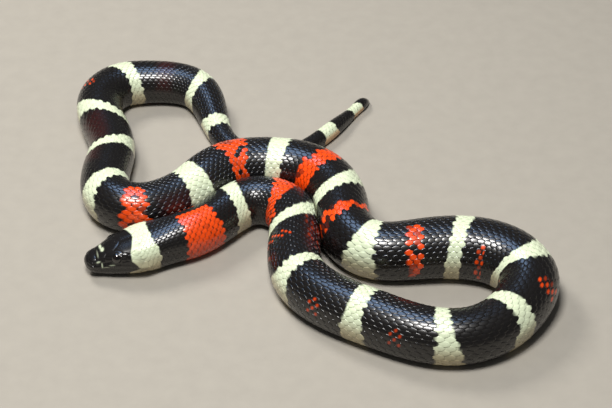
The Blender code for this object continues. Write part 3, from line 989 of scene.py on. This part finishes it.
def scute_place(sites, along, across):
    station, turn, pitch, width = [column[:, None] for column in sites.T]
    own_turn = turn + across * width / 2
    bow = 0.35 * (1 - across**2) * smooth((along - 0.4) / 0.6)
    own_station = station + (along - PLATE_SEAT) * pitch * SCUTE_LENGTH + bow * np.sign(pitch)
    own_station = own_station + slant_at(station) * np.sin(own_turn)
    return own_station, np.broadcast_to(own_turn, own_station.shape)


def scute_height(sites, along, across):
    lift = SCALE_ROOT + (SCALE_TIP - SCALE_ROOT) * along
    edge = 0.10 * smooth((np.abs(across) - 0.9) / 0.1)
    rounding = 0.05 * smooth((along - 0.9) / 0.1)
    return np.repeat((lift - edge - rounding)[None], len(sites), axis=0)


def belly_plates(material):
    """The broad scutes of the belly, and the paired ones under the tail."""
    width = 2 * (math.pi - BELLY_TURN) + math.radians(8)
    belly = chains(THROAT_SCUTES, VENT)[::2]
    broad = [(station, math.pi, pitch_at(station), width) for station in belly]
    paired = []
    for i, station in enumerate(chains(VENT, LAST_SCALES)):
        side = 1 if i % 2 else -1
        paired.append((station, math.pi - side * width / 4, pitch_at(station), width / 2 + 0.06))
    return [
        scutes("belly_scutes", np.array(broad), 25, material),
        scutes("tail_scutes", np.array(paired), 9, material),
    ]


def scutes(name, sites, columns, material):
    """Scutes at many sites, each with a number of points across it."""
    along = np.array([0, 0.3, 0.6, 0.85, 0.95, 1.0])
    made = plates(sites, along, np.linspace(-1, 1, columns), scute_place, scute_height)
    points, faces, station, turn, own_along, own_across, _ = made
    turn = wrapped(turn)
    red, tone, spot = red_share(station, turn)
    red = smooth(0.5 + (red - 0.5) * 4) * (spot > LEAST_SOLID_SPOT)
    paint, pale = colours(station, turn, red, tone, np.zeros(red.shape))
    paint = mixed(paint, pale, white_share(station, turn))
    unwrap = patch_map(sites, own_along, own_across)
    return mesh_object(name, points, faces, material, paint, unwrap)


# Materials

def new_material(name):
    material = bpy.data.materials.new(name)
    material.use_nodes = True
    return material, material.node_tree.nodes, material.node_tree.links


def marking_colour(nodes):
    marking = nodes.new("ShaderNodeAttribute")
    marking.attribute_name = "marking"
    return marking.outputs["Color"]


def noise(nodes, links, scale, detail):
    """Noise from 0 to 1 in the object's own space, in cells per metre."""
    place = nodes.new("ShaderNodeTexCoord")
    cells = nodes.new("ShaderNodeTexNoise")
    cells.inputs["Scale"].default_value = scale
    cells.inputs["Detail"].default_value = detail
    links.new(place.outputs["Object"], cells.inputs["Vector"])
    return cells.outputs["Fac"]


def ranged(nodes, links, value, low, high):
    """A value from 0 to 1 brought to another range."""
    change = nodes.new("ShaderNodeMapRange")
    change.inputs["To Min"].default_value = low
    change.inputs["To Max"].default_value = high
    links.new(value, change.inputs["Value"])
    return change.outputs["Result"]


def scale_material():
    """Glossy keratin: the markings, faint mottling, fine grain and a thin clear layer."""
    material, nodes, links = new_material("scaly_skin")
    shader = nodes["Principled BSDF"]
    mottle = noise(nodes, links, MOTTLE, 4)
    shaded = nodes.new("ShaderNodeVectorMath")
    shaded.operation = "SCALE"
    links.new(marking_colour(nodes), shaded.inputs[0])
    links.new(ranged(nodes, links, mottle, 0.82, 1.12), shaded.inputs["Scale"])
    links.new(shaded.outputs["Vector"], shader.inputs["Base Color"])
    gloss = ranged(nodes, links, mottle, SKIN_ROUGHNESS - 0.05, SKIN_ROUGHNESS + 0.08)
    links.new(gloss, shader.inputs["Roughness"])
    bump = nodes.new("ShaderNodeBump")
    bump.inputs["Strength"].default_value = 0.12
    bump.inputs["Distance"].default_value = GRAIN_DEPTH
    links.new(noise(nodes, links, GRAIN, 2), bump.inputs["Height"])
    links.new(bump.outputs["Normal"], shader.inputs["Normal"])
    shader.inputs["Coat Weight"].default_value = SKIN_COAT
    shader.inputs["Coat Roughness"].default_value = COAT_ROUGHNESS
    return material


def eye_material():
    material, nodes, links = new_material("eye_glass")
    shader = nodes["Principled BSDF"]
    links.new(marking_colour(nodes), shader.inputs["Base Color"])
    shader.inputs["Roughness"].default_value = 0.12
    shader.inputs["Coat Weight"].default_value = 1.0
    shader.inputs["Coat Roughness"].default_value = 0.02
    return material


def floor_material():
    material, nodes, links = new_material("pale_floor")
    shader = nodes["Principled BSDF"]
    ramp = nodes.new("ShaderNodeValToRGB")
    ramp.color_ramp.elements[0].color = FLOOR_DARK
    ramp.color_ramp.elements[1].color = FLOOR_PALE
    links.new(noise(nodes, links, SPECKLE, 6), ramp.inputs["Fac"])
    links.new(ramp.outputs["Color"], shader.inputs["Base Color"])
    shader.inputs["Roughness"].default_value = 0.85
    return material


def eye(name, side, material):
    """A round eye with a dark iris, under a clear scale of its own."""
    centre, axis = side_place(EYE_STATION, EYE_HEIGHT, side, EYE_DEPTH)
    rings, segments = EYE_RINGS, EYE_SEGMENTS
    polar = math.pi * np.arange(1, rings) / rings
    azimuth = 2 * math.pi * np.arange(segments) / segments
    helper = np.cross(axis, [0, 0, 1])
    helper = helper / np.linalg.norm(helper)
    other = np.cross(axis, helper)
    p, a = np.meshgrid(polar, azimuth, indexing="ij")
    spread = helper * np.cos(a)[..., None] + other * np.sin(a)[..., None]
    points = centre + EYE_RADIUS * (axis * np.cos(p)[..., None] + spread * np.sin(p)[..., None])
    poles = [centre + axis * EYE_RADIUS, centre - axis * EYE_RADIUS]
    points = np.concatenate([points.reshape(-1, 3), poles])
    count = (rings - 1) * segments
    faces = [
        grid_faces(rings - 1, segments, 0),
        cap_faces(0, segments, count, front=True),
        cap_faces(count - segments, segments, count + 1, front=False),
    ]
    polar = np.append(p.ravel(), [0, math.pi])
    pupil = smooth((math.radians(24) - polar) / math.radians(4) + 0.5)
    paint = mixed(IRIS, EYE_RIM, smooth((polar - math.radians(42)) / math.radians(10)))
    paint = mixed(paint, PUPIL, pupil)
    unwrap = np.stack([np.append(a.ravel(), [0, 0]) / (2 * math.pi), polar / math.pi], -1)
    return mesh_object(name, points, faces, material, paint, unwrap)


# Camera, light and floor

def camera():
    data = bpy.data.cameras.new("camera")
    data.sensor_width = SENSOR
    data.lens = CAMERA_FOCUS_PIXELS / IMAGE_WIDTH * SENSOR
    data.clip_start = 0.01
    piece = placed("camera", data)
    x, y = FRAME_SHIFT
    back = CAMERA_DISTANCE * math.cos(CAMERA_ELEVATION)
    piece.location = (x * MM, (y - back) * MM, CAMERA_DISTANCE * math.sin(CAMERA_ELEVATION) * MM)
    piece.rotation_euler = (math.pi / 2 - CAMERA_ELEVATION, 0, 0)
    bpy.context.scene.camera = piece


def soft_light(name, place, size, power, colour):
    """A rectangular light at a place in metres, turned to the middle of the animal. Returns it."""
    data = bpy.data.lights.new(name, "AREA")
    data.shape = "RECTANGLE"
    data.size, data.size_y = size
    data.energy = power
    data.color = colour
    piece = placed(name, data)
    piece.location = place
    towards = np.array(place)
    piece.rotation_euler = (
        math.atan2(math.hypot(towards[0], towards[1]), towards[2]),
        0,
        math.atan2(towards[0], -towards[1]),
    )
    return piece


def lights():
    """A flash near the camera, a key that only lights, and a bluish sky that only glints."""
    soft_light("flash", (-0.08, -0.22, 0.77), (0.22, 0.22), 6.8, (1.0, 0.98, 0.95))
    key = soft_light("key", (-0.38, 0.42, 0.60), (0.24, 0.24), 4.4, (1.0, 0.97, 0.93))
    key.visible_glossy = False
    sky = soft_light("sky", (-0.12, 0.23, 0.72), (0.32, 0.40), 2.4, (0.42, 0.63, 1.0))
    sky.visible_diffuse = False
    world = bpy.data.worlds.new("studio")
    bpy.context.scene.world = world
    world.use_nodes = True
    background = world.node_tree.nodes["Background"]
    background.inputs["Color"].default_value = WORLD_COLOUR
    background.inputs["Strength"].default_value = WORLD_STRENGTH


def floor():
    bpy.ops.mesh.primitive_plane_add(size=FLOOR_SIZE)
    piece = bpy.context.object
    piece.name = "floor"
    piece.data.materials.append(floor_material())


def build():
    random = np.random.RandomState(RANDOM_SEED)
    skin_look = scale_material()
    whole = skin(skin_look)
    flesh = [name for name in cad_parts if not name.startswith("eye")]
    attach(whole, "root")
    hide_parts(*flesh)
    for piece in scales(skin_look, random) + belly_plates(skin_look):
        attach(piece, "root")
    glass = eye_material()
    for name, side in (("eye_left", -1), ("eye_right", 1)):
        ball = eye(name.replace("eye", "eyeball"), side, glass)
        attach(ball, "root")
        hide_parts(name)


camera()
lights()
floor()
build()
bpy.context.scene.view_settings.view_transform = "Standard"
